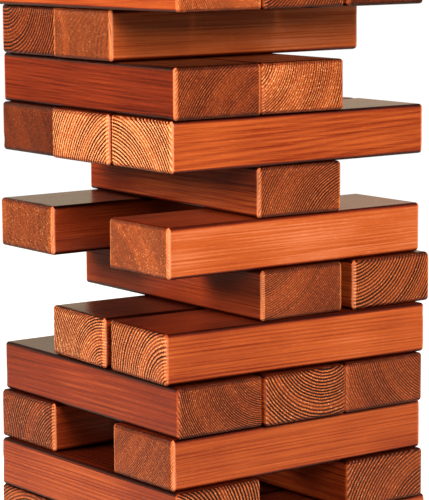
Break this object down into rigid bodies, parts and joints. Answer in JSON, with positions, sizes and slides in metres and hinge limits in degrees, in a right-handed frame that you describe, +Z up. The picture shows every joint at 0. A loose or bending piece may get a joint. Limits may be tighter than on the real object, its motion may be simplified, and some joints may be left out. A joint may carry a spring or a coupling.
{
  "type": "giant tumbling tower",
  "caption": "Waist-high lawn-game tower of stained pine blocks stacked crosswise, part-played, with gaps where blocks were drawn; each block slides out and the top course lifts off.",
  "frame": {"origin": "middle of the tower's foot, on the underside of the bottom course's middle block", "axes": "+Z up the tower; X along the even courses' blocks; Y along the odd courses' blocks"},
  "size_m": [0.2963, 0.298, 0.9448],
  "materials": {
    "redwood_stained_pine": "redwood stain under a semi-gloss clear varnish",
    "light_redwood_stained_pine": "thin redwood stain under a semi-gloss clear varnish",
    "dark_redwood_stained_pine": "heavy redwood stain under a semi-gloss clear varnish"
  },
  "bodies": {
    "bottom_middle_block": {"course_01_middle_block": "light_redwood_stained_pine"},
    "course_01_left": {"course_01_left_block": "redwood_stained_pine"},
    "course_01_right": {"course_01_right_block": "dark_redwood_stained_pine"},
    "course_02_front": {"course_02_front_block": "redwood_stained_pine"},
    "course_02_middle": {"course_02_middle_block": "redwood_stained_pine"},
    "course_02_back": {"course_02_back_block": "dark_redwood_stained_pine"},
    "course_03_left": {"course_03_left_block": "light_redwood_stained_pine"},
    "course_03_middle": {"course_03_middle_block": "redwood_stained_pine"},
    "course_03_right": {"course_03_right_block": "dark_redwood_stained_pine"},
    "course_04_front": {"course_04_front_block": "light_redwood_stained_pine"},
    "course_04_middle": {"course_04_middle_block": "dark_redwood_stained_pine"},
    "course_04_back": {"course_04_back_block": "redwood_stained_pine"},
    "course_05_left": {"course_05_left_block": "light_redwood_stained_pine"},
    "course_05_right": {"course_05_right_block": "redwood_stained_pine"},
    "course_06_front": {"course_06_front_block": "redwood_stained_pine"},
    "course_06_back": {"course_06_back_block": "redwood_stained_pine"},
    "course_07_left": {"course_07_left_block": "dark_redwood_stained_pine"},
    "course_07_middle": {"course_07_middle_block": "redwood_stained_pine"},
    "course_07_right": {"course_07_right_block": "dark_redwood_stained_pine"},
    "course_08_front": {"course_08_front_block": "light_redwood_stained_pine"},
    "course_08_middle": {"course_08_middle_block": "light_redwood_stained_pine"},
    "course_09_middle": {"course_09_middle_block": "dark_redwood_stained_pine"},
    "course_09_right": {"course_09_right_block": "redwood_stained_pine"},
    "course_10_front": {"course_10_front_block": "light_redwood_stained_pine"},
    "course_10_back": {"course_10_back_block": "redwood_stained_pine"},
    "course_11_middle": {"course_11_middle_block": "redwood_stained_pine"},
    "course_12_front": {"course_12_front_block": "light_redwood_stained_pine"},
    "course_12_middle": {"course_12_middle_block": "light_redwood_stained_pine"},
    "course_12_back": {"course_12_back_block": "dark_redwood_stained_pine"},
    "course_13_left": {"course_13_left_block": "dark_redwood_stained_pine"},
    "course_13_middle": {"course_13_middle_block": "redwood_stained_pine"},
    "course_14_middle": {"course_14_middle_block": "redwood_stained_pine"},
    "course_14_back": {"course_14_back_block": "dark_redwood_stained_pine"},
    "course_15_left": {"course_15_left_block": "light_redwood_stained_pine"},
    "course_15_middle": {"course_15_middle_block": "redwood_stained_pine"},
    "course_15_right": {"course_15_right_block": "dark_redwood_stained_pine"},
    "course_16_front": {"course_16_front_block": "redwood_stained_pine"},
    "course_16_middle": {"course_16_middle_block": "light_redwood_stained_pine"},
    "course_16_back": {"course_16_back_block": "redwood_stained_pine"},
    "course_17_left": {"course_17_left_block": "light_redwood_stained_pine"},
    "course_17_middle": {"course_17_middle_block": "dark_redwood_stained_pine"},
    "course_17_right": {"course_17_right_block": "redwood_stained_pine"},
    "course_18_front": {"course_18_front_block": "redwood_stained_pine"},
    "course_18_middle": {"course_18_middle_block": "dark_redwood_stained_pine"},
    "course_18_back": {"course_18_back_block": "light_redwood_stained_pine"},
    "course_19_left": {"course_19_left_block": "redwood_stained_pine"},
    "course_19_middle": {"course_19_middle_block": "dark_redwood_stained_pine"},
    "course_19_right": {"course_19_right_block": "redwood_stained_pine"},
    "course_20_front": {"course_20_front_block": "light_redwood_stained_pine"},
    "course_20_middle": {"course_20_middle_block": "redwood_stained_pine"},
    "course_20_back": {"course_20_back_block": "light_redwood_stained_pine"},
    "course_21_left": {"course_21_left_block": "dark_redwood_stained_pine"},
    "course_21_middle": {"course_21_middle_block": "redwood_stained_pine"},
    "course_21_right": {"course_21_right_block": "redwood_stained_pine"}
  },
  "joints": [
    {"name": "course_01_left_slide", "type": "slide", "parent": "bottom_middle_block", "child": "course_01_left", "axis": [0, 1, 0], "range_m": [-0.3, 0.3]},
    {"name": "course_01_right_slide", "type": "slide", "parent": "bottom_middle_block", "child": "course_01_right", "axis": [0, 1, 0], "range_m": [-0.3, 0.3]},
    {"name": "course_02_front_slide", "type": "slide", "parent": "bottom_middle_block", "child": "course_02_front", "axis": [1, 0.0052, 0], "range_m": [-0.3, 0.3]},
    {"name": "course_02_middle_slide", "type": "slide", "parent": "bottom_middle_block", "child": "course_02_middle", "axis": [1, 0.0052, 0], "range_m": [-0.3, 0.3]},
    {"name": "course_02_back_slide", "type": "slide", "parent": "bottom_middle_block", "child": "course_02_back", "axis": [1, 0.0052, 0], "range_m": [-0.3, 0.3]},
    {"name": "course_03_left_slide", "type": "slide", "parent": "bottom_middle_block", "child": "course_03_left", "axis": [0.007, 1, 0], "range_m": [-0.3, 0.3]},
    {"name": "course_03_middle_slide", "type": "slide", "parent": "bottom_middle_block", "child": "course_03_middle", "axis": [0.007, 1, 0], "range_m": [-0.3, 0.3]},
    {"name": "course_03_right_slide", "type": "slide", "parent": "bottom_middle_block", "child": "course_03_right", "axis": [0.007, 1, 0], "range_m": [-0.3, 0.3]},
    {"name": "course_04_front_slide", "type": "slide", "parent": "bottom_middle_block", "child": "course_04_front", "axis": [1, 0.0087, 0], "range_m": [-0.3, 0.3]},
    {"name": "course_04_middle_slide", "type": "slide", "parent": "bottom_middle_block", "child": "course_04_middle", "axis": [1, 0.0087, 0], "range_m": [-0.3, 0.3]},
    {"name": "course_04_back_slide", "type": "slide", "parent": "bottom_middle_block", "child": "course_04_back", "axis": [1, 0.0087, 0], "range_m": [-0.3, 0.3]},
    {"name": "course_05_left_slide", "type": "slide", "parent": "bottom_middle_block", "child": "course_05_left", "axis": [-0.0175, 0.9998, 0], "range_m": [-0.3, 0.3]},
    {"name": "course_05_right_slide", "type": "slide", "parent": "bottom_middle_block", "child": "course_05_right", "axis": [-0.0175, 0.9998, 0], "range_m": [-0.3, 0.3]},
    {"name": "course_06_front_slide", "type": "slide", "parent": "bottom_middle_block", "child": "course_06_front", "axis": [0.9999, 0.0122, 0], "range_m": [-0.3, 0.3]},
    {"name": "course_06_back_slide", "type": "slide", "parent": "bottom_middle_block", "child": "course_06_back", "axis": [0.9999, 0.0122, 0], "range_m": [-0.3, 0.3]},
    {"name": "course_07_left_slide", "type": "slide", "parent": "bottom_middle_block", "child": "course_07_left", "axis": [-0.0061, 1, 0], "range_m": [-0.3, 0.3]},
    {"name": "course_07_middle_slide", "type": "slide", "parent": "bottom_middle_block", "child": "course_07_middle", "axis": [-0.0061, 1, 0], "range_m": [-0.3, 0.3]},
    {"name": "course_07_right_slide", "type": "slide", "parent": "bottom_middle_block", "child": "course_07_right", "axis": [-0.0061, 1, 0], "range_m": [-0.3, 0.3]},
    {"name": "course_08_front_slide", "type": "slide", "parent": "bottom_middle_block", "child": "course_08_front", "axis": [0.9993, -0.0384, 0], "range_m": [-0.3, 0.3]},
    {"name": "course_08_middle_slide", "type": "slide", "parent": "bottom_middle_block", "child": "course_08_middle", "axis": [0.9993, -0.0384, 0], "range_m": [-0.3, 0.3]},
    {"name": "course_09_middle_slide", "type": "slide", "parent": "bottom_middle_block", "child": "course_09_middle", "axis": [-0.0035, 1, 0], "range_m": [-0.3, 0.3]},
    {"name": "course_09_right_slide", "type": "slide", "parent": "bottom_middle_block", "child": "course_09_right", "axis": [-0.0035, 1, 0], "range_m": [-0.3, 0.3]},
    {"name": "course_10_front_slide", "type": "slide", "parent": "bottom_middle_block", "child": "course_10_front", "axis": [1, 0.0017, 0], "range_m": [-0.3, 0.3]},
    {"name": "course_10_back_slide", "type": "slide", "parent": "bottom_middle_block", "child": "course_10_back", "axis": [1, 0.0017, 0], "range_m": [-0.3, 0.3]},
    {"name": "course_11_middle_slide", "type": "slide", "parent": "bottom_middle_block", "child": "course_11_middle", "axis": [0.0314, 0.9995, 0], "range_m": [-0.3, 0.3]},
    {"name": "course_12_front_slide", "type": "slide", "parent": "bottom_middle_block", "child": "course_12_front", "axis": [1, 0.007, 0], "range_m": [-0.3, 0.3]},
    {"name": "course_12_middle_slide", "type": "slide", "parent": "bottom_middle_block", "child": "course_12_middle", "axis": [1, 0.007, 0], "range_m": [-0.3, 0.3]},
    {"name": "course_12_back_slide", "type": "slide", "parent": "bottom_middle_block", "child": "course_12_back", "axis": [1, 0.007, 0], "range_m": [-0.3, 0.3]},
    {"name": "course_13_left_slide", "type": "slide", "parent": "bottom_middle_block", "child": "course_13_left", "axis": [0.0087, 1, 0], "range_m": [-0.3, 0.3]},
    {"name": "course_13_middle_slide", "type": "slide", "parent": "bottom_middle_block", "child": "course_13_middle", "axis": [0.0087, 1, 0], "range_m": [-0.3, 0.3]},
    {"name": "course_14_middle_slide", "type": "slide", "parent": "bottom_middle_block", "child": "course_14_middle", "axis": [0.9998, 0.0192, 0], "range_m": [-0.3, 0.3]},
    {"name": "course_14_back_slide", "type": "slide", "parent": "bottom_middle_block", "child": "course_14_back", "axis": [0.9998, 0.0192, 0], "range_m": [-0.3, 0.3]},
    {"name": "course_15_left_slide", "type": "slide", "parent": "bottom_middle_block", "child": "course_15_left", "axis": [-0.0332, 0.9995, 0], "range_m": [-0.3, 0.3]},
    {"name": "course_15_middle_slide", "type": "slide", "parent": "bottom_middle_block", "child": "course_15_middle", "axis": [-0.0332, 0.9995, 0], "range_m": [-0.3, 0.3]},
    {"name": "course_15_right_slide", "type": "slide", "parent": "bottom_middle_block", "child": "course_15_right", "axis": [-0.0332, 0.9995, 0], "range_m": [-0.3, 0.3]},
    {"name": "course_16_front_slide", "type": "slide", "parent": "bottom_middle_block", "child": "course_16_front", "axis": [0.9998, 0.0209, 0], "range_m": [-0.3, 0.3]},
    {"name": "course_16_middle_slide", "type": "slide", "parent": "bottom_middle_block", "child": "course_16_middle", "axis": [0.9998, 0.0209, 0], "range_m": [-0.3, 0.3]},
    {"name": "course_16_back_slide", "type": "slide", "parent": "bottom_middle_block", "child": "course_16_back", "axis": [0.9998, 0.0209, 0], "range_m": [-0.3, 0.3]},
    {"name": "course_17_left_slide", "type": "slide", "parent": "bottom_middle_block", "child": "course_17_left", "axis": [-0.007, 1, 0], "range_m": [-0.3, 0.3]},
    {"name": "course_17_middle_slide", "type": "slide", "parent": "bottom_middle_block", "child": "course_17_middle", "axis": [-0.007, 1, 0], "range_m": [-0.3, 0.3]},
    {"name": "course_17_right_slide", "type": "slide", "parent": "bottom_middle_block", "child": "course_17_right", "axis": [-0.007, 1, 0], "range_m": [-0.3, 0.3]},
    {"name": "course_18_front_slide", "type": "slide", "parent": "bottom_middle_block", "child": "course_18_front", "axis": [0.9999, -0.0105, 0], "range_m": [-0.3, 0.3]},
    {"name": "course_18_middle_slide", "type": "slide", "parent": "bottom_middle_block", "child": "course_18_middle", "axis": [0.9999, -0.0105, 0], "range_m": [-0.3, 0.3]},
    {"name": "course_18_back_slide", "type": "slide", "parent": "bottom_middle_block", "child": "course_18_back", "axis": [0.9999, -0.0105, 0], "range_m": [-0.3, 0.3]},
    {"name": "course_19_left_slide", "type": "slide", "parent": "bottom_middle_block", "child": "course_19_left", "axis": [-0.0244, 0.9997, 0], "range_m": [-0.3, 0.3]},
    {"name": "course_19_middle_slide", "type": "slide", "parent": "bottom_middle_block", "child": "course_19_middle", "axis": [-0.0244, 0.9997, 0], "range_m": [-0.3, 0.3]},
    {"name": "course_19_right_slide", "type": "slide", "parent": "bottom_middle_block", "child": "course_19_right", "axis": [-0.0244, 0.9997, 0], "range_m": [-0.3, 0.3]},
    {"name": "course_20_front_slide", "type": "slide", "parent": "bottom_middle_block", "child": "course_20_front", "axis": [0.9998, -0.0209, 0], "range_m": [-0.3, 0.3]},
    {"name": "course_20_middle_slide", "type": "slide", "parent": "bottom_middle_block", "child": "course_20_middle", "axis": [0.9998, -0.0209, 0], "range_m": [-0.3, 0.3]},
    {"name": "course_20_back_slide", "type": "slide", "parent": "bottom_middle_block", "child": "course_20_back", "axis": [0.9998, -0.0209, 0], "range_m": [-0.3, 0.3]},
    {"name": "course_21_left_lift", "type": "slide", "parent": "bottom_middle_block", "child": "course_21_left", "axis": [0, 0, 1], "range_m": [0, 0.15]},
    {"name": "course_21_middle_lift", "type": "slide", "parent": "bottom_middle_block", "child": "course_21_middle", "axis": [0, 0, 1], "range_m": [0, 0.15]},
    {"name": "course_21_right_lift", "type": "slide", "parent": "bottom_middle_block", "child": "course_21_right", "axis": [0, 0, 1], "range_m": [0, 0.15]}
  ]
}
